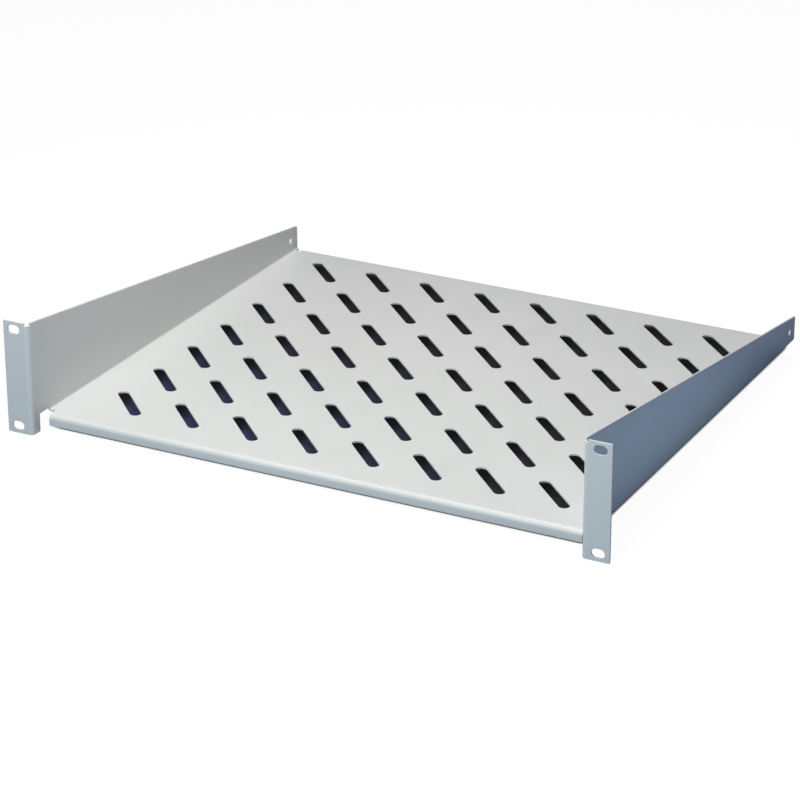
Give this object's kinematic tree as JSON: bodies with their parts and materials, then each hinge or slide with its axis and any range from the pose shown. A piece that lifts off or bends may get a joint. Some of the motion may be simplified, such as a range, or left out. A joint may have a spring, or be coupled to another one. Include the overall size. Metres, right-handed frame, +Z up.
{
  "type": "rack shelf",
  "caption": "Vented rack shelf folded from one sheet: a slotted tray with short flanges, side walls that slope down to the rear, and slotted ears that bolt to the rails of a rack.",
  "frame": {"origin": "centre of the four ear slots, on the rear face of the ears, which bears on the rack's rails", "axes": "+X across from ear to ear, +Y from the ears to the rear end of the tray, +Z up out of the tray"},
  "size_m": [0.4826, 0.4, 0.0882],
  "materials": {
    "powder_coat": "light grey powder coat, semi-matt with a very fine orange peel"
  },
  "bodies": {
    "root": {"shelf": "powder_coat"}
  },
  "joints": []
}
